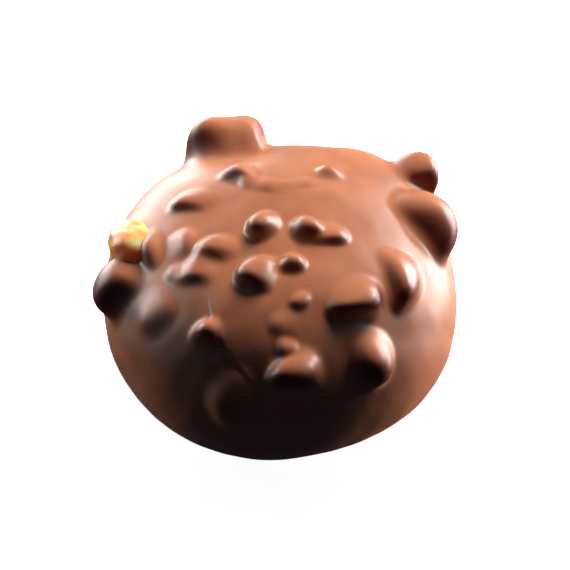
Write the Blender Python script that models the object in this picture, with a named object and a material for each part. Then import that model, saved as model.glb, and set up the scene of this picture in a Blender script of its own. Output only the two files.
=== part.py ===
"""Chocolate bonbon: a dipped ball, flat where it set, with chopped nuts standing out of its coat.

The whole sweet is one closed solid. Its surface is the zero level of a distance-like field: a
squashed superellipsoid with a few broad swells, cut flat at the foot, into which every nut is
blended as the chocolate pools round it. A sphere of quads is drawn onto that level from the
centre and evened out along the surface. Lengths are in millimetres until the mesh is written.
"""
import math

import bmesh
import bpy
import numpy as np

MM = 0.001

# The dipped ball
HALF_WIDTH = 15.4
CROWN = 11.2            # from the centre up to the top
KEEL = 9.9              # from the centre down to the bottom, before the foot is cut
CENTRE_HEIGHT = 7.9     # of the centre above the flat foot
SQUARENESS = 2.3        # exponent of the superellipsoid: 2 is an ellipsoid
FOOT_ROUND = 1.6        # rounding of the edge of the foot
OVER_BALL = 0.92        # share of the height over the ball that counts as the distance from it

# Broad swells of the ball: azimuth and elevation of both ends, spread in degrees, height
SWELLS = (
    (40, 28, 50, 30, 18, 1.1),        # shoulder behind on the right
    (135, 25, 160, 25, 25, 0.55),     # shoulder behind on the left
    (-68, -28, -68, -28, 28, -0.5),   # drawn in under the front
)

# Low banks of thicker coat: azimuth, elevation, length, width, rise, turn, pool, flatness
BANKS = (
    (40, 56, 17.6, 12.0, 0.6, 71, 0.45, 4),    # level field on top
    (-52, 48, 11.5, 3.7, 0.35, -9, 1.05, 2),   # step under it
)

# Chopped nuts: azimuth, elevation, length, width, height, turn, lift of the middle over the bare
# ball, width of the pool of chocolate round it, tail uphill, broken faces (bearing, tilt, distance
# from the middle as a share of the nut's reach), seed of its unevenness
NUTS = (
    # large chunk behind on the left
    (108, 34, 5.0, 6.5, 4.5, -1, 1.1, 1.4, 0, ((62, 3, 0.58), (90, 34, 0.93)), 1),
    (119, 32, 5.2, 6.0, 4.7, -17, 0.8, 1.6, 0, ((14, 0, 0.76), (60, 3, 0.57), (90, 34, 0.93)), 2),
    # chip on top, a ridge of coat trailing from it, and the chip at the end of the ridge
    (128, 61, 2.8, 3.0, 2.3, -30, 0.0, 0.6, 0.3, ((30, 14, 0.43),), 3),
    (115, 73, 3.3, 1.2, 0.8, -44, 0.3, 0.7, 0, (), 4),
    (61, 72, 3.0, 0.9, 0.45, 41, 0.4, 0.5, 0, (), 4),
    (48, 60, 2.3, 2.0, 1.9, 9, 0.25, 0.6, 0, ((127, 14, 0.57),), 5),
    # left side
    (165, 51, 3.0, 3.0, 2.3, -87, -0.35, 0.7, 0.3, ((-5, 14, 0.52),), 6),
    (179, 30, 3.6, 4.5, 3.0, -55, -0.1, 0.6, 0, (), 7),
    (-171, 38, 4.0, 2.0, 2.2, -6, -0.3, 0.6, 0, (), 31),
    (-165, 20, 5.4, 6.7, 4.8, -69, -0.15, 0.9, 0, ((-1, 14, 0.48),), 8),
    (-164, 49, 2.0, 2.0, 1.1, 68, -0.35, 0.9, 0, (), 9),
    (-146, 56, 3.4, 2.6, 2.3, 57, -0.35, 0.7, 0.3, ((-39, 14, 0.60),), 10),
    (-140, 45, 2.8, 2.7, 1.9, 64, -0.45, 0.9, 0.3, ((-54, 18, 0.44),), 11),
    (-150, 41, 1.2, 1.2, 0.9, 55, -0.25, 0.6, 0, (), 12),
    # crowd on the brow
    (-126, 76, 3.7, 2.6, 3.0, -57, -0.1, 0.45, 0.1, ((-29, 14, 0.58), (-83, 14, 0.58)), 13),
    (-50, 72, 2.9, 3.1, 3.0, -24, -0.1, 0.45, 0.1, ((-134, 14, 0.58),), 14),
    (-36, 65, 2.8, 3.0, 2.6, -69, -0.15, 0.45, 0.1, ((-139, 14, 0.58),), 15),
    (-106, 54, 3.8, 3.7, 3.5, 51, -0.1, 0.45, 0.1, ((-90, 10, 0.56),), 16),
    (-82, 60, 2.4, 2.2, 2.5, 18, -0.15, 0.4, 0.1, ((-98, 14, 0.60),), 17),
    (-80, 46, 1.6, 1.5, 1.6, -9, 0.1, 0.4, 0, (), 18),
    # front
    (-55, 40, 5.0, 3.6, 3.9, -5, 0.05, 0.65, 0.15, ((-118, 16, 0.55),), 19),
    (-29, 37, 5.1, 4.2, 3.9, 16, 0, 0.65, 0.15, ((145, 14, 0.50),), 20),
    (-59, 20, 4.6, 4.6, 4.0, 42, -0.15, 0.7, 0.15, ((-168, 21, 0.69), (146, 14, 0.66)), 21),
    (-85, 23, 4.6, 3.8, 4.1, 7, -0.1, 0.65, 0.15, ((-102, 30, 0.60),), 22),
    (-88, 31, 1.6, 1.4, 1.8, -2, -0.1, 0.5, 0, (), 23),
    (-119, 31, 2.6, 2.5, 2.5, 22, -0.15, 0.6, 0, ((-75, 34, 0.55),), 24),
    (-145, 27, 3.2, 2.8, 1.9, 76, -0.7, 1.2, 0, (), 25),
    (-106, 13, 4.9, 3.7, 2.8, 69, -0.65, 1.15, 0, (), 26),
    (-89, 38, 1.8, 1.4, 1.4, -1, -0.45, 0.9, 0, (), 30),
    # right side
    (6, 33, 7.8, 6.2, 5.7, 32, 0.05, 0.6, 0, ((141, 2, 0.45),), 28),
    (33, 30, 4.8, 3.6, 4.9, 40, 0.75, 0.7, 0, ((166, 5, 0.56), (90, 34, 0.80)), 29),
)

# More nuts scattered over the side behind, by a seeded rule
SCATTER_TRIES = 200
SCATTER_SEED = 3
SCATTER_AZIMUTH = (28, 130)
SCATTER_ELEVATION = (-26, 18)
SCATTER_APART = 17      # least angle between two nuts
SCATTER_LENGTH = (2.4, 4.8)
SCATTER_WIDTH = (0.75, 1.0)     # share of the length
SCATTER_HEIGHT = (0.65, 0.85)   # share of the length
SCATTER_LIFT = -0.25
SCATTER_POOL = 0.8
SCATTER_TILT = (10, 40)     # of the broken face
SCATTER_DEPTH = (0.55, 0.75)
SCATTER_HIGH = 8        # elevation from which the scattered nuts are smaller and lie deeper
SCATTER_SHRINK = 0.1    # length lost with each degree above that
SCATTER_SINK = 0.02     # lift lost with each degree above that

NUT_WAVE = 0.12         # unevenness of a nut, as a share of its mean half size
WAVE_PITCH = 2.1        # radians of the unevenness in the mean half size
FACE_ROUND = 0.40       # rounding of a nut's broken faces, as a share of its least half size

# Mesh
CELLS = 30              # quads along each edge of the cube that the sphere of quads comes from
FAR = 22.0              # radius that lies outside everything
MARCH_STEPS = 44
MARCH_SHARE = 0.75      # share of the field's value that a step of the march takes
EVEN_ROUNDS = 8
EVEN_SHARE = 0.6
LAST_SHARE = 0.35       # of the last easing, which takes the edge off creases
PROBE = 0.02            # half the step of a difference of the field
LONGEST_MOVE = 0.3      # of a point back onto the surface in one round
GENTLEST = 0.05         # least square of the field's slope that a move divides by

CENTRE = np.array((0.0, 0.0, CENTRE_HEIGHT))

COAT_COLOUR = (0.20, 0.075, 0.032, 1)
COAT_ROUGHNESS = 0.3


def unit(v):
    return v / np.linalg.norm(v, axis=-1, keepdims=True)


def direction(azimuth, elevation):
    azimuth, elevation = math.radians(azimuth), math.radians(elevation)
    flat = math.cos(elevation)
    return np.array((math.cos(azimuth) * flat, math.sin(azimuth) * flat, math.sin(elevation)))


def smooth_min(a, b, blend):
    """The lesser of a and b, with the corner between them filled over the width of blend."""
    share = np.clip(0.5 + 0.5 * (b - a) / blend, 0, 1)
    return b * (1 - share) + a * share - blend * share * (1 - share)


def ball_radius(u):
    """Distance from the centre to the bare ball's surface along the unit vectors u."""
    across = np.hypot(u[:, 0], u[:, 1]) / HALF_WIDTH
    along = np.abs(u[:, 2]) / np.where(u[:, 2] > 0, CROWN, KEEL)
    radius = (across ** SQUARENESS + along ** SQUARENESS) ** (-1 / SQUARENESS)
    for azimuth, elevation, azimuth_end, elevation_end, spread, height in SWELLS:
        start = direction(azimuth, elevation)
        span = direction(azimuth_end, elevation_end) - start
        share = np.clip((u - start) @ span / max(span @ span, 1e-9), 0, 1)
        nearest = unit(start + share[:, None] * span)
        angle = np.arccos(np.clip((u * nearest).sum(axis=1), -1, 1))
        radius = radius + height * np.exp(-(angle / math.radians(spread)) ** 2)
    return radius


def height_over_ball(p):
    arm = p - CENTRE
    length = np.linalg.norm(arm, axis=1)
    return length - ball_radius(arm / length[:, None])


class Lump:
    """An ellipsoid that lies along the ball: its third coordinate is the height over the ball."""

    def __init__(self, azimuth, elevation, length, width, height, turn, lift, pool):
        out = direction(azimuth, elevation)
        foot = CENTRE + out * ball_radius(out[None])[0]
        step = np.eye(3) * PROBE
        normal = unit(height_over_ball(foot + step) - height_over_ball(foot - step))
        east = unit(np.cross((0, 0, 1), normal))
        north = np.cross(normal, east)
        turn = math.radians(turn)
        self.middle = foot + out * lift
        self.lift = lift
        self.axes = np.array((
            math.cos(turn) * east + math.sin(turn) * north,
            math.cos(turn) * north - math.sin(turn) * east,
            normal,
        ))
        self.half = np.array((length, width, height)) / 2
        self.pool = pool
        self.reach = self.half.max() * 1.6 + pool * 1.2 + 1

    def local(self, p, height):
        q = (p - self.middle) @ self.axes.T
        q[:, 2] = height - self.lift
        return q


class Bank(Lump):
    """A low level-topped step of thicker coat."""

    def __init__(self, azimuth, elevation, length, width, rise, turn, pool, flatness):
        super().__init__(azimuth, elevation, length, width, 2 * rise, turn, 0.0, pool)
        self.flatness = flatness

    def distance(self, p, height):
        q = np.abs(self.local(p, height) / self.half)
        across = np.hypot(q[:, 0], q[:, 1])
        ratio = (across ** self.flatness + q[:, 2] ** self.flatness) ** (1 / self.flatness)
        return (ratio - 1) * self.half[2]


class Nut(Lump):
    """A piece of chopped nut under its coat: uneven, with broken faces, longer on its uphill side."""

    def __init__(self, azimuth, elevation, length, width, height, turn, lift, pool, tail, faces, seed):
        super().__init__(azimuth, elevation, length, width, height, turn, lift, pool)
        self.tail = tail
        self.uphill = np.array((math.sin(math.radians(turn)), math.cos(math.radians(turn))))
        self.faces = []
        for bearing, tilt, depth in faces:
            normal = direction(bearing - turn, tilt)
            self.faces.append((normal, depth * np.linalg.norm(normal * self.half)))
        self.phase = np.random.default_rng(seed).uniform(0, math.tau, 3)

    def distance(self, p, height):
        q = self.local(p, height)
        rise = q[:, :2] @ self.uphill
        shift = np.maximum(rise, 0) * self.tail / (1 + self.tail)
        q[:, :2] -= shift[:, None] * self.uphill
        mean = self.half.mean()
        q = q + NUT_WAVE * mean * np.sin(q[:, (1, 2, 0)] / mean * WAVE_PITCH + self.phase)
        ratio = np.linalg.norm(q / self.half, axis=1)
        slope = np.linalg.norm(q / self.half ** 2, axis=1)
        result = ratio * (ratio - 1) / np.maximum(slope, 1e-9)
        for normal, depth in self.faces:
            result = -smooth_min(-result, depth - q @ normal, FACE_ROUND * self.half.min())
        return result


def scattered_nuts():
    """Rows like those of NUTS for the side behind, clear of each other and of the named nuts."""
    rng = np.random.default_rng(SCATTER_SEED)
    taken = [direction(row[0], row[1]) for row in NUTS]
    rows = []
    for _ in range(SCATTER_TRIES):
        azimuth = rng.uniform(*SCATTER_AZIMUTH)
        elevation = rng.uniform(*SCATTER_ELEVATION)
        out = direction(azimuth, elevation)
        if max(out @ other for other in taken) > math.cos(math.radians(SCATTER_APART)):
            continue
        taken.append(out)
        above = max(elevation - SCATTER_HIGH, 0)
        length = rng.uniform(*SCATTER_LENGTH) - SCATTER_SHRINK * above
        size = (length, length * rng.uniform(*SCATTER_WIDTH), length * rng.uniform(*SCATTER_HEIGHT))
        turn = rng.uniform(-90, 90)
        lift = SCATTER_LIFT - SCATTER_SINK * above
        faces = ((rng.uniform(0, 360), rng.uniform(*SCATTER_TILT), rng.uniform(*SCATTER_DEPTH)),)
        rows.append((azimuth, elevation, *size, turn, lift, SCATTER_POOL, 0, faces, len(rows)))
    return rows


def all_lumps():
    lumps = [Bank(*row) for row in BANKS]
    lumps += [Nut(*row) for row in NUTS]
    lumps += [Nut(*row) for row in scattered_nuts()]
    return lumps


def field(p, lumps):
    """Below zero inside the sweet, above zero outside."""
    height = height_over_ball(p)
    result = -smooth_min(-height * OVER_BALL, p[:, 2], FOOT_ROUND)
    for lump in lumps:
        near = np.linalg.norm(p - lump.middle, axis=1) < lump.reach
        if near.any():
            result[near] = smooth_min(result[near], lump.distance(p[near], height[near]), lump.pool)
    return result


def outermost(u, lumps):
    """Points of the surface along the unit vectors u from the centre, marched from outside."""
    radius = np.full(len(u), FAR)
    for _ in range(MARCH_STEPS):
        radius -= field(CENTRE + u * radius[:, None], lumps) * MARCH_SHARE
    return CENTRE + u * radius[:, None]


def eased(p, edges, share):
    """Moves each point by a share of the way to the middle of its neighbours."""
    count = len(p)
    start, end = edges[:, 0], edges[:, 1]
    degree = np.bincount(edges.ravel(), minlength=count)[:, None]
    total = np.empty_like(p)
    for axis in range(3):
        total[:, axis] = np.bincount(start, p[end, axis], count)
        total[:, axis] += np.bincount(end, p[start, axis], count)
    return p + share * (total / degree - p)


def evened(p, edges, lumps):
    """Slides the points towards the middle of their neighbours, and back onto the surface."""
    for _ in range(EVEN_ROUNDS):
        p = eased(p, edges, EVEN_SHARE)
        slope = np.empty_like(p)
        for axis in range(3):
            step = np.eye(3)[axis] * PROBE
            slope[:, axis] = (field(p + step, lumps) - field(p - step, lumps)) / (2 * PROBE)
        steepness = np.maximum((slope ** 2).sum(axis=1), GENTLEST)
        move = np.clip(field(p, lumps) / steepness, -LONGEST_MOVE, LONGEST_MOVE)
        p = p - move[:, None] * slope
    return p


def sphere_of_quads(cells):
    """Bmesh of a cube cut into cells along each edge, and the unit vectors of its vertices."""
    bm = bmesh.new()
    bmesh.ops.create_cube(bm, size=2)
    bmesh.ops.subdivide_edges(bm, edges=bm.edges[:], cuts=cells - 1, use_grid_fill=True)
    bm.verts.index_update()
    corners = np.array([vert.co[:] for vert in bm.verts])
    return bm, unit(np.tan(corners * math.pi / 4))


def coat_material():
    material = bpy.data.materials.new("milk_chocolate")
    material.use_nodes = True
    shader = material.node_tree.nodes["Principled BSDF"]
    shader.inputs["Base Color"].default_value = COAT_COLOUR
    shader.inputs["Roughness"].default_value = COAT_ROUGHNESS
    return material


def make_bonbon():
    lumps = all_lumps()
    bm, u = sphere_of_quads(CELLS)
    edges = np.array([[vert.index for vert in edge.verts] for edge in bm.edges])
    points = evened(outermost(u, lumps), edges, lumps)
    points = eased(points, edges, LAST_SHARE)
    points[:, 2] = np.where(points[:, 2] < PROBE, 0, points[:, 2])
    for vert, point in zip(bm.verts, points):
        vert.co = point * MM
    bmesh.ops.triangulate(bm, faces=bm.faces[:], quad_method="SHORT_EDGE")
    bmesh.ops.recalc_face_normals(bm, faces=bm.faces[:])
    mesh = bpy.data.meshes.new("bonbon")
    bm.to_mesh(mesh)
    bm.free()
    mesh.shade_smooth()
    mesh.materials.append(coat_material())
    bonbon = bpy.data.objects.new("bonbon", mesh)
    bpy.context.scene.collection.objects.link(bonbon)
    return bonbon


for old in list(bpy.data.objects):
    bpy.data.objects.remove(old)
make_bonbon()
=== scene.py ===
"""Looks of the chocolate bonbon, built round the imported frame.

The coat is the same field as the solid's, drawn much finer and with the slight unevenness of a
dipped coat, and it replaces the solid. One nut on the left has lost its coat and is a piece of its
own. Lengths are in millimetres until a mesh is written.
"""
import math

import bmesh
import bpy
import numpy as np
from mathutils import Matrix, Vector


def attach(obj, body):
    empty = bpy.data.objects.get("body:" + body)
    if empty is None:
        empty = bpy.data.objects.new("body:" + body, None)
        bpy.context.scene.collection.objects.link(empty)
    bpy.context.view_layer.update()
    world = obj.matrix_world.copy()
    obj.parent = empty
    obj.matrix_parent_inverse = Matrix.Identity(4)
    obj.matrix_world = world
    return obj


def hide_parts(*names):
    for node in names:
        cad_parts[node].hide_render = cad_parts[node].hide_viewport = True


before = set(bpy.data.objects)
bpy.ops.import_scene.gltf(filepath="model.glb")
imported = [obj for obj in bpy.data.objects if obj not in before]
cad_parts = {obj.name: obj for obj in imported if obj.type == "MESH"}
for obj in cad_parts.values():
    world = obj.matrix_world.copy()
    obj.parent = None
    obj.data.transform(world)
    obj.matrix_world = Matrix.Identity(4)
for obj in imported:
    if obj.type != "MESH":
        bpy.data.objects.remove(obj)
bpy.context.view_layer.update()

MM = 0.001

# The dipped ball
HALF_WIDTH = 15.4
CROWN = 11.2            # from the centre up to the top
KEEL = 9.9              # from the centre down to the bottom, before the foot is cut
CENTRE_HEIGHT = 7.9     # of the centre above the flat foot
SQUARENESS = 2.3        # exponent of the superellipsoid: 2 is an ellipsoid
FOOT_ROUND = 1.6        # rounding of the edge of the foot
OVER_BALL = 0.92        # share of the height over the ball that counts as the distance from it

# Broad swells of the ball: azimuth and elevation of both ends, spread in degrees, height
SWELLS = (
    (40, 28, 50, 30, 18, 1.1),        # shoulder behind on the right
    (135, 25, 160, 25, 25, 0.55),     # shoulder behind on the left
    (-68, -28, -68, -28, 28, -0.5),   # drawn in under the front
)

# Low banks of thicker coat: azimuth, elevation, length, width, rise, turn, pool, flatness
BANKS = (
    (40, 56, 17.6, 12.0, 0.6, 71, 0.45, 4),    # level field on top
    (-52, 48, 11.5, 3.7, 0.35, -9, 1.05, 2),   # step under it
)

# Chopped nuts: azimuth, elevation, length, width, height, turn, lift of the middle over the bare
# ball, width of the pool of chocolate round it, tail uphill, broken faces (bearing, tilt, distance
# from the middle as a share of the nut's reach), seed of its unevenness
NUTS = (
    # large chunk behind on the left
    (108, 34, 5.0, 6.5, 4.5, -1, 1.1, 1.4, 0, ((62, 3, 0.58), (90, 34, 0.93)), 1),
    (119, 32, 5.2, 6.0, 4.7, -17, 0.8, 1.6, 0, ((14, 0, 0.76), (60, 3, 0.57), (90, 34, 0.93)), 2),
    # chip on top, a ridge of coat trailing from it, and the chip at the end of the ridge
    (128, 61, 2.8, 3.0, 2.3, -30, 0.0, 0.6, 0.3, ((30, 14, 0.43),), 3),
    (115, 73, 3.3, 1.2, 0.8, -44, 0.3, 0.7, 0, (), 4),
    (61, 72, 3.0, 0.9, 0.45, 41, 0.4, 0.5, 0, (), 4),
    (48, 60, 2.3, 2.0, 1.9, 9, 0.25, 0.6, 0, ((127, 14, 0.57),), 5),
    # left side
    (165, 51, 3.0, 3.0, 2.3, -87, -0.35, 0.7, 0.3, ((-5, 14, 0.52),), 6),
    (179, 30, 3.6, 4.5, 3.0, -55, -0.1, 0.6, 0, (), 7),
    (-171, 38, 4.0, 2.0, 2.2, -6, -0.3, 0.6, 0, (), 31),
    (-165, 20, 5.4, 6.7, 4.8, -69, -0.15, 0.9, 0, ((-1, 14, 0.48),), 8),
    (-164, 49, 2.0, 2.0, 1.1, 68, -0.35, 0.9, 0, (), 9),
    (-146, 56, 3.4, 2.6, 2.3, 57, -0.35, 0.7, 0.3, ((-39, 14, 0.60),), 10),
    (-140, 45, 2.8, 2.7, 1.9, 64, -0.45, 0.9, 0.3, ((-54, 18, 0.44),), 11),
    (-150, 41, 1.2, 1.2, 0.9, 55, -0.25, 0.6, 0, (), 12),
    # crowd on the brow
    (-126, 76, 3.7, 2.6, 3.0, -57, -0.1, 0.45, 0.1, ((-29, 14, 0.58), (-83, 14, 0.58)), 13),
    (-50, 72, 2.9, 3.1, 3.0, -24, -0.1, 0.45, 0.1, ((-134, 14, 0.58),), 14),
    (-36, 65, 2.8, 3.0, 2.6, -69, -0.15, 0.45, 0.1, ((-139, 14, 0.58),), 15),
    (-106, 54, 3.8, 3.7, 3.5, 51, -0.1, 0.45, 0.1, ((-90, 10, 0.56),), 16),
    (-82, 60, 2.4, 2.2, 2.5, 18, -0.15, 0.4, 0.1, ((-98, 14, 0.60),), 17),
    (-80, 46, 1.6, 1.5, 1.6, -9, 0.1, 0.4, 0, (), 18),
    # front
    (-55, 40, 5.0, 3.6, 3.9, -5, 0.05, 0.65, 0.15, ((-118, 16, 0.55),), 19),
    (-29, 37, 5.1, 4.2, 3.9, 16, 0, 0.65, 0.15, ((145, 14, 0.50),), 20),
    (-59, 20, 4.6, 4.6, 4.0, 42, -0.15, 0.7, 0.15, ((-168, 21, 0.69), (146, 14, 0.66)), 21),
    (-85, 23, 4.6, 3.8, 4.1, 7, -0.1, 0.65, 0.15, ((-102, 30, 0.60),), 22),
    (-88, 31, 1.6, 1.4, 1.8, -2, -0.1, 0.5, 0, (), 23),
    (-119, 31, 2.6, 2.5, 2.5, 22, -0.15, 0.6, 0, ((-75, 34, 0.55),), 24),
    (-145, 27, 3.2, 2.8, 1.9, 76, -0.7, 1.2, 0, (), 25),
    (-106, 13, 4.9, 3.7, 2.8, 69, -0.65, 1.15, 0, (), 26),
    (-89, 38, 1.8, 1.4, 1.4, -1, -0.45, 0.9, 0, (), 30),
    # right side
    (6, 33, 7.8, 6.2, 5.7, 32, 0.05, 0.6, 0, ((141, 2, 0.45),), 28),
    (33, 30, 4.8, 3.6, 4.9, 40, 0.75, 0.7, 0, ((166, 5, 0.56), (90, 34, 0.80)), 29),
)

# More nuts scattered over the side behind, by a seeded rule
SCATTER_TRIES = 200
SCATTER_SEED = 3
SCATTER_AZIMUTH = (28, 130)
SCATTER_ELEVATION = (-26, 18)
SCATTER_APART = 17      # least angle between two nuts
SCATTER_LENGTH = (2.4, 4.8)
SCATTER_WIDTH = (0.75, 1.0)     # share of the length
SCATTER_HEIGHT = (0.65, 0.85)   # share of the length
SCATTER_LIFT = -0.25
SCATTER_POOL = 0.8
SCATTER_TILT = (10, 40)     # of the broken face
SCATTER_DEPTH = (0.55, 0.75)
SCATTER_HIGH = 8        # elevation from which the scattered nuts are smaller and lie deeper
SCATTER_SHRINK = 0.1    # length lost with each degree above that
SCATTER_SINK = 0.02     # lift lost with each degree above that

NUT_WAVE = 0.12         # unevenness of a nut, as a share of its mean half size
WAVE_PITCH = 2.1        # radians of the unevenness in the mean half size
FACE_ROUND = 0.40       # rounding of a nut's broken faces, as a share of its least half size

# Distance from a bank's or nut's middle within which it is worked out
REACH_HALVES = 1.6      # share of its largest half size
REACH_POOLS = 1.2       # and of the width of its pool
REACH_SPARE = 1.0       # and this much more

TINY = 1e-9             # keeps a divisor off zero

# Unevenness of the dipped coat: waves of the surface as wavelength, height, and how many of them
COAT_WAVES = ((7.0, 0.022, 9), (3.0, 0.004, 14))
WAVE_STRETCH = (0.7, 1.4)       # range of a wave's length, as a share of the named one
WAVE_SEED = 11

# Where the coat runs thin over what stands out of the ball, darkened with painted shade on its
# steep sides that face away from the light
THIN_FROM = 0.2         # height over the ball at which the coat begins to thin
THIN_SPAN = 1.1         # further height over which it gets as thin as it can
LEVEL = 0.97            # upward part of the surface's normal down to which there is no painted shade
STEEP_SPAN = 0.45       # further fall of that part over which the painted shade gets full

# Mesh
COARSE_CELLS = 40       # quads along each edge of the cube that the sphere of quads comes from
COARSE_ROUNDS = 5       # of evening the points out, before the quads are cut finer
FINE_CUTS = 2
FINE_ROUNDS = 3         # of evening the points out, after that
FAR = 22.0              # from the centre, outside everything
MARCH_STEPS = 36
MARCH_SHARE = 0.8       # share of the field's value that a step of the march takes
EVEN_SHARE = 0.6        # of the way to the middle of its neighbours that a point slides in a round
PROBE = 0.02            # step for slopes, and height under which a point is on the foot
LONGEST_MOVE = 0.3      # of a point back onto the surface in one round
GENTLEST = 0.05         # least square of the field's slope that a move divides by

# The nut that has lost its coat, a little larger than its row says and moved to break through
BARE_NUT = 7            # its row of NUTS, counted from 0
BARE_GROWTH = 0.50
BARE_SHIFT = (0.15, -0.35, -0.05)
BARE_DIVISIONS = 5      # of the icosphere
BARE_STEPS = 40         # of the march
BARE_MARCH_SHARE = 0.7
BARE_START = 1.5        # where the march starts, in the nut's largest half size
BARE_RIPPLE = 0.05      # height of its ripples
RIPPLE_ONE = (3.1, 2.2, -1.7)       # directions of its crossing ripples, in radians a millimetre
RIPPLE_TWO = (-1.2, 3.3, 2.4)

# Colours, linear
COCOA_DARK = (0.36, 0.125, 0.058, 1)
COCOA_LIGHT = (0.47, 0.175, 0.085, 1)
# coat thin over a nut, dark and red enough to be painted shade on the nuts' steep sides
COCOA_THIN_AND_SHADE = (0.15, 0.018, 0.008, 1)
NUT_FLESH = (0.97, 0.66, 0.30, 1)
NUT_SKIN = (0.88, 0.36, 0.08, 1)
NUT_STAIN = (0.95, 0.26, 0.05, 1)   # at the foot of the bare nut, where the coat has run
STAIN_FROM = 14.2       # height over the foot under which the stain is full
STAIN_TO = 15.8         # height over which there is none

# Studio, in metres and watts
FLOOR_HALF = 1.0
FLOOR_GLOW = 0.95
FLOOR_WHITE = (0.9, 0.9, 0.9, 1)
AIR_COLOUR = (0.6, 0.7, 1.0, 1)
AIR = 0.03
LIGHT_DISTANCE = 0.25
# Softboxes: name, azimuth, elevation, width, height, watts, and whether it lights the matte part
# of a surface and whether it shows in the gloss
SOFTBOXES = (
    ("key", 64, 49, 0.16, 0.12, 1.35, True, False),
    ("side", 31, -13, 0.14, 0.12, 2.0, True, False),
    ("left", 142, -8, 0.20, 0.12, 0.7, True, False),
    ("side_sheen", 30, -4, 0.18, 0.12, 1.0, False, True),
    ("side_high", 18, 24, 0.10, 0.08, 0.6, False, True),
    ("rim", 44, 18, 0.05, 0.05, 0.45, False, True),
    ("left_sheen", 154, 14, 0.20, 0.14, 0.65, False, True),
    ("left_back", 122, 2, 0.20, 0.14, 0.75, False, True),
)

# Camera, in millimetres and pixels
CAMERA_ELEVATION = 45
CAMERA_DISTANCE = 200.0
SENSOR = 36.0
IMAGE = 570             # side of the image
PIXEL = 0.0879          # size of a pixel at the ball's centre
CENTRE_PIXEL = (281, 305)
CLIP = (0.005, 5)       # in metres

CENTRE = np.array((0.0, 0.0, CENTRE_HEIGHT))


def unit(v):
    return v / np.linalg.norm(v, axis=-1, keepdims=True)


def direction(azimuth, elevation):
    azimuth, elevation = math.radians(azimuth), math.radians(elevation)
    flat = math.cos(elevation)
    return np.array((math.cos(azimuth) * flat, math.sin(azimuth) * flat, math.sin(elevation)))


def smooth_min(a, b, blend):
    """The lesser of a and b, with the corner between them filled over the width of blend."""
    share = np.clip(0.5 + 0.5 * (b - a) / blend, 0, 1)
    return b * (1 - share) + a * share - blend * share * (1 - share)


def ball_radius(u):
    """Distance from the centre to the bare ball's surface along the unit vectors u."""
    across = np.hypot(u[:, 0], u[:, 1]) / HALF_WIDTH
    along = np.abs(u[:, 2]) / np.where(u[:, 2] > 0, CROWN, KEEL)
    radius = (across ** SQUARENESS + along ** SQUARENESS) ** (-1 / SQUARENESS)
    for azimuth, elevation, azimuth_end, elevation_end, spread, height in SWELLS:
        start = direction(azimuth, elevation)
        span = direction(azimuth_end, elevation_end) - start
        share = np.clip((u - start) @ span / max(span @ span, TINY), 0, 1)
        nearest = unit(start + share[:, None] * span)
        angle = np.arccos(np.clip((u * nearest).sum(axis=1), -1, 1))
        radius = radius + height * np.exp(-(angle / math.radians(spread)) ** 2)
    return radius


def height_over_ball(p):
    arm = p - CENTRE
    length = np.linalg.norm(arm, axis=1)
    return length - ball_radius(arm / length[:, None])


class Lump:
    """An ellipsoid that lies along the ball: its third coordinate is the height over the ball."""

    def __init__(self, azimuth, elevation, length, width, height, turn, lift, pool):
        out = direction(azimuth, elevation)
        foot = CENTRE + out * ball_radius(out[None])[0]
        step = np.eye(3) * PROBE
        normal = unit(height_over_ball(foot + step) - height_over_ball(foot - step))
        east = unit(np.cross((0, 0, 1), normal))
        north = np.cross(normal, east)
        turn = math.radians(turn)
        self.middle = foot + out * lift
        self.lift = lift
        self.axes = np.array((
            math.cos(turn) * east + math.sin(turn) * north,
            math.cos(turn) * north - math.sin(turn) * east,
            normal,
        ))
        self.half = np.array((length, width, height)) / 2
        self.pool = pool
        self.reach = self.half.max() * REACH_HALVES + pool * REACH_POOLS + REACH_SPARE

    def local(self, p, height):
        q = (p - self.middle) @ self.axes.T
        q[:, 2] = height - self.lift
        return q


class Bank(Lump):
    """A low level-topped step of thicker coat."""

    def __init__(self, azimuth, elevation, length, width, rise, turn, pool, flatness):
        super().__init__(azimuth, elevation, length, width, 2 * rise, turn, 0.0, pool)
        self.flatness = flatness

    def distance(self, p, height):
        q = np.abs(self.local(p, height) / self.half)
        across = np.hypot(q[:, 0], q[:, 1])
        ratio = (across ** self.flatness + q[:, 2] ** self.flatness) ** (1 / self.flatness)
        return (ratio - 1) * self.half[2]


class Nut(Lump):
    """A piece of chopped nut under its coat: uneven, broken, and longer on its uphill side."""

    def __init__(
        self, azimuth, elevation, length, width, height, turn, lift, pool, tail, faces, seed
    ):
        super().__init__(azimuth, elevation, length, width, height, turn, lift, pool)
        self.tail = tail
        self.uphill = np.array((math.sin(math.radians(turn)), math.cos(math.radians(turn))))
        self.faces = []
        for bearing, tilt, depth in faces:
            normal = direction(bearing - turn, tilt)
            self.faces.append((normal, depth * np.linalg.norm(normal * self.half)))
        self.phase = np.random.default_rng(seed).uniform(0, math.tau, 3)

    def distance(self, p, height):
        q = self.local(p, height)
        rise = q[:, :2] @ self.uphill
        shift = np.maximum(rise, 0) * self.tail / (1 + self.tail)
        q[:, :2] -= shift[:, None] * self.uphill
        mean = self.half.mean()
        q = q + NUT_WAVE * mean * np.sin(q[:, (1, 2, 0)] / mean * WAVE_PITCH + self.phase)
        ratio = np.linalg.norm(q / self.half, axis=1)
        slope = np.linalg.norm(q / self.half ** 2, axis=1)
        result = ratio * (ratio - 1) / np.maximum(slope, TINY)
        for normal, depth in self.faces:
            result = -smooth_min(-result, depth - q @ normal, FACE_ROUND * self.half.min())
        return result


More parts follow.
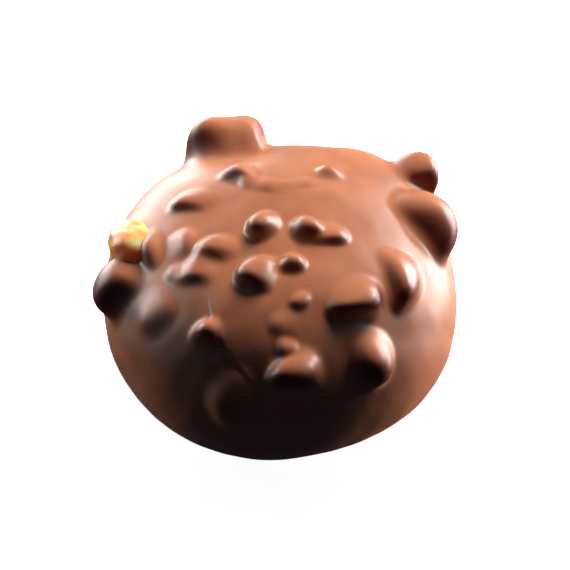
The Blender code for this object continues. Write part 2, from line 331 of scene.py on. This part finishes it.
def scattered_nuts():
    """Rows like those of NUTS for the side behind, clear of each other and of the named nuts."""
    rng = np.random.default_rng(SCATTER_SEED)
    taken = [direction(row[0], row[1]) for row in NUTS]
    rows = []
    for _ in range(SCATTER_TRIES):
        azimuth = rng.uniform(*SCATTER_AZIMUTH)
        elevation = rng.uniform(*SCATTER_ELEVATION)
        out = direction(azimuth, elevation)
        if max(out @ other for other in taken) > math.cos(math.radians(SCATTER_APART)):
            continue
        taken.append(out)
        above = max(elevation - SCATTER_HIGH, 0)
        length = rng.uniform(*SCATTER_LENGTH) - SCATTER_SHRINK * above
        size = (length, length * rng.uniform(*SCATTER_WIDTH), length * rng.uniform(*SCATTER_HEIGHT))
        turn = rng.uniform(-90, 90)
        lift = SCATTER_LIFT - SCATTER_SINK * above
        faces = ((rng.uniform(0, 360), rng.uniform(*SCATTER_TILT), rng.uniform(*SCATTER_DEPTH)),)
        rows.append((azimuth, elevation, *size, turn, lift, SCATTER_POOL, 0, faces, len(rows)))
    return rows


def all_lumps():
    lumps = [Bank(*row) for row in BANKS]
    lumps += [Nut(*row) for row in NUTS]
    lumps += [Nut(*row) for row in scattered_nuts()]
    return lumps


def field(p, lumps):
    """Below zero inside the sweet, above zero outside."""
    height = height_over_ball(p)
    result = -smooth_min(-height * OVER_BALL, p[:, 2], FOOT_ROUND)
    for lump in lumps:
        near = np.linalg.norm(p - lump.middle, axis=1) < lump.reach
        if near.any():
            result[near] = smooth_min(result[near], lump.distance(p[near], height[near]), lump.pool)
    return result


def outermost(u, lumps):
    """Points of the surface along the unit vectors u from the centre, marched from outside."""
    radius = np.full(len(u), FAR)
    for _ in range(MARCH_STEPS):
        radius -= field(CENTRE + u * radius[:, None], lumps) * MARCH_SHARE
    return CENTRE + u * radius[:, None]


def eased(p, edges, share):
    """Moves each point by a share of the way to the middle of its neighbours."""
    count = len(p)
    start, end = edges[:, 0], edges[:, 1]
    degree = np.bincount(edges.ravel(), minlength=count)[:, None]
    total = np.empty_like(p)
    for axis in range(3):
        total[:, axis] = np.bincount(start, p[end, axis], count)
        total[:, axis] += np.bincount(end, p[start, axis], count)
    return p + share * (total / degree - p)


def evened(p, edges, lumps, rounds):
    """Slides the points towards the middle of their neighbours, and back onto the surface."""
    for _ in range(rounds):
        p = eased(p, edges, EVEN_SHARE)
        slope = np.empty_like(p)
        for axis in range(3):
            step = np.eye(3)[axis] * PROBE
            slope[:, axis] = (field(p + step, lumps) - field(p - step, lumps)) / (2 * PROBE)
        steepness = np.maximum((slope ** 2).sum(axis=1), GENTLEST)
        move = np.clip(field(p, lumps) / steepness, -LONGEST_MOVE, LONGEST_MOVE)
        p = p - move[:, None] * slope
    return p


def sphere_of_quads(cells):
    """Bmesh of a cube cut into cells along each edge, and the unit vectors of its vertices."""
    bm = bmesh.new()
    bmesh.ops.create_cube(bm, size=2)
    bmesh.ops.subdivide_edges(bm, edges=bm.edges[:], cuts=cells - 1, use_grid_fill=True)
    bm.verts.index_update()
    corners = np.array([vert.co[:] for vert in bm.verts])
    return bm, unit(np.tan(corners * math.pi / 4))


def coat_waves(p):
    """Height of the coat's slight unevenness at the points p: crossing waves, by a seeded rule."""
    rng = np.random.default_rng(WAVE_SEED)
    total = np.zeros(len(p))
    for length, height, count in COAT_WAVES:
        for _ in range(count):
            way = unit(rng.normal(size=3)) * math.tau / (length * rng.uniform(*WAVE_STRETCH))
            total += height * np.sin(p @ way + rng.uniform(0, math.tau))
    return total


def thin_coat_and_shade(points, upward):
    """How thin the coat is over what stands out, 0 to 1, times painted shade where the normal
    points less upward.
    """
    high = np.clip((height_over_ball(points) - THIN_FROM) / THIN_SPAN, 0, 1)
    steep = np.clip((LEVEL - upward) / STEEP_SPAN, 0, 1)
    return high * steep


def coat_mesh(lumps):
    """Fine mesh of the coat, with thin coat over the nuts and painted shade on their sides as an
    attribute.
    """
    bm, u = sphere_of_quads(COARSE_CELLS)
    edges = np.array([[vert.index for vert in edge.verts] for edge in bm.edges])
    points = evened(outermost(u, lumps), edges, lumps, COARSE_ROUNDS)
    for vert, point in zip(bm.verts, points):
        vert.co = point
    bmesh.ops.subdivide_edges(bm, edges=bm.edges[:], cuts=FINE_CUTS, use_grid_fill=True)
    bmesh.ops.recalc_face_normals(bm, faces=bm.faces[:])
    mesh = bpy.data.meshes.new("coat")
    bm.to_mesh(mesh)
    bm.free()
    count = len(mesh.vertices)
    points = np.empty(count * 3, np.float32)
    mesh.vertices.foreach_get("co", points)
    points = points.reshape(-1, 3).astype(float)
    edges = np.empty(len(mesh.edges) * 2, np.int32)
    mesh.edges.foreach_get("vertices", edges)
    points = evened(points, edges.reshape(-1, 2), lumps, FINE_ROUNDS)
    above_foot = np.clip(points[:, 2] / FOOT_ROUND, 0, 1)
    points += (unit(points - CENTRE).T * coat_waves(points) * above_foot).T
    points[:, 2] = np.where(points[:, 2] < PROBE, 0, points[:, 2])
    mesh.vertices.foreach_set("co", (points * MM).ravel().astype(np.float32))
    mesh.shade_smooth()
    mesh.update()
    normals = np.empty(count * 3, np.float32)
    mesh.vertex_normals.foreach_get("vector", normals)
    over = mesh.attributes.new("over_nut_and_shade", "FLOAT", "POINT")
    # thin coat over the nuts, times painted shade on their steep sides
    thin_and_shade = thin_coat_and_shade(points, normals.reshape(-1, 3)[:, 2])
    over.data.foreach_set("value", thin_and_shade.astype(np.float32))
    return mesh


def bare_nut_mesh():
    """The bare nut's surface, marched inwards from outside, with its ripples."""
    nut = Nut(*NUTS[BARE_NUT])
    shift = np.array(BARE_SHIFT)
    bm = bmesh.new()
    bmesh.ops.create_icosphere(bm, subdivisions=BARE_DIVISIONS, radius=1)
    u = unit(np.array([vert.co[:] for vert in bm.verts]))
    radius = np.full(len(u), nut.half.max() * BARE_START)
    for _ in range(BARE_STEPS):
        p = nut.middle + u * radius[:, None]
        radius -= (nut.distance(p, height_over_ball(p)) - BARE_GROWTH) * BARE_MARCH_SHARE
    points = nut.middle + shift + u * radius[:, None]
    ripple = np.sin(points @ RIPPLE_ONE) * np.sin(points @ RIPPLE_TWO)
    points += u * BARE_RIPPLE * ripple[:, None]
    for vert, point in zip(bm.verts, points):
        vert.co = point * MM
    bmesh.ops.recalc_face_normals(bm, faces=bm.faces[:])
    mesh = bpy.data.meshes.new("bare_nut")
    bm.to_mesh(mesh)
    bm.free()
    mesh.shade_smooth()
    return mesh


def new_material(name):
    """A material with nodes, its node tree and its shader."""
    material = bpy.data.materials.new(name)
    material.use_nodes = True
    return material, material.node_tree, material.node_tree.nodes["Principled BSDF"]


def node(tree, kind, **values):
    """A new node, with values for its properties, or for its sockets named with _ for a space."""
    made = tree.nodes.new(kind)
    for name, value in values.items():
        if hasattr(made, name):
            setattr(made, name, value)
        else:
            made.inputs[name.replace("_", " ")].default_value = value
    return made


def noise(tree, place, **values):
    """Output of a noise texture over the place."""
    made = node(tree, "ShaderNodeTexNoise", **values)
    tree.links.new(place, made.inputs["Vector"])
    return made.outputs["Fac"]


def ramp(tree, share, low, low_colour, high, high_colour):
    """Output of a blend from one colour to the other as the share goes from low to high."""
    made = node(tree, "ShaderNodeValToRGB")
    ends = made.color_ramp.elements
    ends[0].position = low
    ends[0].color = low_colour
    ends[1].position = high
    ends[1].color = high_colour
    tree.links.new(share, made.inputs["Fac"])
    return made.outputs["Color"]


def ranged(tree, share, **values):
    """Output of a map range node fed with the share."""
    made = node(tree, "ShaderNodeMapRange", **values)
    tree.links.new(share, made.inputs["Value"])
    return made.outputs["Result"]


def chocolate_material():
    material, tree, shader = new_material("milk_chocolate")
    link = tree.links.new
    shader.inputs["Coat Weight"].default_value = 0.06
    shader.inputs["Coat Roughness"].default_value = 0.22
    shader.inputs["Coat IOR"].default_value = 1.45
    shader.inputs["Subsurface Weight"].default_value = 0.5
    shader.inputs["Subsurface Radius"].default_value = (1.0, 0.16, 0.07)
    shader.inputs["Subsurface Scale"].default_value = 0.0009
    place = node(tree, "ShaderNodeTexCoord").outputs["Object"]

    # colour: cocoa mottling, redder and darker where the coat runs thin over a nut, and darker
    # still as painted shade on the nuts' steep sides
    clouds = noise(tree, place, Scale=260.0, Detail=4.0, Roughness=0.55)
    mottle = ramp(tree, clouds, 0.30, COCOA_DARK, 0.72, COCOA_LIGHT)
    thin_and_shade = node(tree, "ShaderNodeAttribute", attribute_name="over_nut_and_shade").outputs["Fac"]
    thin_shade_mix = node(tree, "ShaderNodeMix", data_type="RGBA")
    link(thin_and_shade, thin_shade_mix.inputs["Factor"])
    link(mottle, thin_shade_mix.inputs["A"])
    thin_shade_mix.inputs["B"].default_value = COCOA_THIN_AND_SHADE
    link(thin_shade_mix.outputs["Result"], shader.inputs["Base Color"])
    # less specular where the mask of thin coat and painted shade is high
    link(ranged(tree, thin_and_shade, To_Min=0.5, To_Max=0.4), shader.inputs["Specular IOR Level"])

    # gloss: satin patches where the coat set slowly
    patches = noise(tree, place, Scale=420.0, Detail=3.0)
    gloss = ranged(tree, patches, From_Min=0.35, From_Max=0.7, To_Min=0.40, To_Max=0.50)
    link(gloss, shader.inputs["Roughness"])

    # relief: soft dimples and a fine grain
    soft = node(tree, "ShaderNodeBump", Strength=0.12, Distance=0.00008)
    link(noise(tree, place, Scale=900.0, Detail=2.0), soft.inputs["Height"])
    fine = node(tree, "ShaderNodeBump", Strength=0.10, Distance=0.00003)
    link(noise(tree, place, Scale=5200.0, Detail=2.0), fine.inputs["Height"])
    link(soft.outputs["Normal"], fine.inputs["Normal"])
    link(fine.outputs["Normal"], shader.inputs["Normal"])
    return material


def nut_material():
    material, tree, shader = new_material("bare_nut")
    link = tree.links.new
    shader.inputs["Roughness"].default_value = 0.38
    shader.inputs["Subsurface Weight"].default_value = 0.8
    shader.inputs["Subsurface Radius"].default_value = (1.0, 0.45, 0.15)
    shader.inputs["Subsurface Scale"].default_value = 0.002
    place = node(tree, "ShaderNodeTexCoord").outputs["Object"]

    # colour: patches of skin on the flesh, stained by the coat lower down
    clouds = noise(tree, place, Scale=700.0, Detail=5.0, Roughness=0.6)
    flesh = ramp(tree, clouds, 0.36, NUT_SKIN, 0.60, NUT_FLESH)
    parts = node(tree, "ShaderNodeSeparateXYZ")
    link(place, parts.inputs["Vector"])
    clean = ranged(tree, parts.outputs["Z"], From_Min=STAIN_FROM * MM, From_Max=STAIN_TO * MM)
    stain = node(tree, "ShaderNodeMix", data_type="RGBA")
    link(clean, stain.inputs["Factor"])
    stain.inputs["A"].default_value = NUT_STAIN
    link(flesh, stain.inputs["B"])
    link(stain.outputs["Result"], shader.inputs["Base Color"])

    bump = node(tree, "ShaderNodeBump", Strength=0.3, Distance=0.0001)
    link(noise(tree, place, Scale=2600.0, Detail=3.0), bump.inputs["Height"])
    link(bump.outputs["Normal"], shader.inputs["Normal"])
    return material


def added(name, data):
    """A new object of the scene."""
    made = bpy.data.objects.new(name, data)
    bpy.context.scene.collection.objects.link(made)
    return made


def make_coat():
    coat = added("coat", coat_mesh(all_lumps()))
    coat.data.materials.append(chocolate_material())
    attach(coat, "root")
    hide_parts("bonbon")


def make_bare_nut():
    piece = added("bare_nut", bare_nut_mesh())
    piece.data.materials.append(nut_material())
    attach(piece, "root")


def make_floor():
    """A glowing white floor that neither lights the sweet nor shades it."""
    mesh = bpy.data.meshes.new("floor")
    corners = [(x * FLOOR_HALF, y * FLOOR_HALF, 0) for x, y in ((-1, -1), (1, -1), (1, 1), (-1, 1))]
    mesh.from_pydata(corners, [], [(0, 1, 2, 3)])
    floor = added("floor", mesh)
    material, _, shader = new_material("white_floor")
    shader.inputs["Base Color"].default_value = FLOOR_WHITE
    shader.inputs["Roughness"].default_value = 0.9
    shader.inputs["Emission Color"].default_value = (1, 1, 1, 1)
    shader.inputs["Emission Strength"].default_value = FLOOR_GLOW
    mesh.materials.append(material)
    floor.visible_diffuse = False
    floor.visible_glossy = False
    floor.visible_shadow = False


def make_lights():
    middle = Vector(CENTRE * MM)
    for name, azimuth, elevation, width, height, watts, matte, glossy in SOFTBOXES:
        light = bpy.data.lights.new(name, "AREA")
        light.shape = "RECTANGLE"
        light.size = width
        light.size_y = height
        light.energy = watts
        box = added(name, light)
        box.location = Vector(direction(azimuth, elevation) * LIGHT_DISTANCE) + middle
        box.rotation_euler = (middle - box.location).to_track_quat("-Z", "Y").to_euler()
        box.visible_diffuse = matte
        box.visible_glossy = glossy
    world = bpy.data.worlds.new("studio")
    bpy.context.scene.world = world
    world.use_nodes = True
    background = world.node_tree.nodes["Background"]
    background.inputs["Color"].default_value = AIR_COLOUR
    background.inputs["Strength"].default_value = AIR


def make_camera():
    """Camera at the angle of the view, with the ball's centre at its pixel of the image."""
    tilt = math.radians(CAMERA_ELEVATION)
    right = np.array((1, 0, 0))
    up = np.array((0, math.sin(tilt), math.cos(tilt)))
    back = np.array((0, -math.cos(tilt), math.sin(tilt)))
    offset = (IMAGE / 2 - CENTRE_PIXEL[0]) * right + (CENTRE_PIXEL[1] - IMAGE / 2) * up
    eye = CENTRE + offset * PIXEL + back * CAMERA_DISTANCE
    data = bpy.data.cameras.new("camera")
    data.sensor_width = SENSOR
    data.lens = SENSOR * CAMERA_DISTANCE / (IMAGE * PIXEL)
    data.clip_start, data.clip_end = CLIP
    camera = added("camera", data)
    turned = Matrix((right, up, back)).transposed().to_4x4()
    camera.matrix_world = Matrix.Translation(eye * MM) @ turned
    bpy.context.scene.camera = camera


make_coat()
make_bare_nut()
make_floor()
make_lights()
make_camera()
bpy.context.scene.view_settings.view_transform = "Standard"
